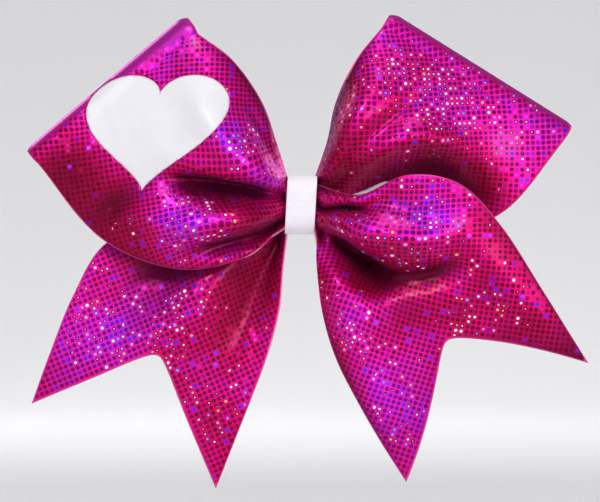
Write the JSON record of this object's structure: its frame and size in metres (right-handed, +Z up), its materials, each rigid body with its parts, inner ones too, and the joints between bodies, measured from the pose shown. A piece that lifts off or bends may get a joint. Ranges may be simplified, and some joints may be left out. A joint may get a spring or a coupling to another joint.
{
  "type": "cheer hair bow",
  "caption": "Large hair bow with dotted ribbon loops and swallow tails, a heart window, a white centre wrap and a sprung alligator clip behind it.",
  "frame": {"origin": "middle of the gap between the clip's jaws, where hair is held", "axes": "+X to the viewer's right when the bow's face is seen, -Y out of the bow's face, +Z up"},
  "size_m": [0.1981, 0.0474, 0.1682],
  "materials": {
    "left_loop_face": "knit fabric with foil dots",
    "left_loop_lining": "satin ribbon",
    "right_loop_face": "knit fabric with foil dots",
    "right_loop_lining": "satin ribbon",
    "left_tail_face": "knit fabric with foil dots",
    "left_tail_lining": "satin ribbon",
    "right_tail_face": "knit fabric with foil dots",
    "right_tail_lining": "satin ribbon",
    "heart_inlay": "satin",
    "pinched_centre": "knit fabric with foil dots",
    "cable_tie": "moulded nylon",
    "centre_wrap": "ribbed grosgrain",
    "glue_pad": "hot-melt glue",
    "clip_front_jaw": "nickel plated",
    "clip_rear_jaw": "nickel plated",
    "clip_hinge_pin": "plated",
    "clip_spring": "spring wire"
  },
  "bodies": {
    "bow": {"left_loop_face": "left_loop_face", "left_loop_lining": "left_loop_lining", "right_loop_face": "right_loop_face", "right_loop_lining": "right_loop_lining", "left_tail_face": "left_tail_face", "left_tail_lining": "left_tail_lining", "right_tail_face": "right_tail_face", "right_tail_lining": "right_tail_lining", "heart_inlay": "heart_inlay", "pinched_centre": "pinched_centre", "cable_tie": "cable_tie", "centre_wrap": "centre_wrap", "glue_pad": "glue_pad", "clip_front_jaw": "clip_front_jaw", "clip_hinge_pin": "clip_hinge_pin", "clip_spring": "clip_spring"},
    "rear_jaw": {"clip_rear_jaw": "clip_rear_jaw"}
  },
  "joints": [
    {"name": "clip_hinge", "type": "hinge", "parent": "bow", "child": "rear_jaw", "pos_m": [-0.009, 0.0001, 0], "axis": [0, 0, 1], "range_deg": [0, 30], "stiffness_Nm_per_rad": 0.15, "springref_deg": -28.65, "deforming": ["clip_spring"]}
  ]
}
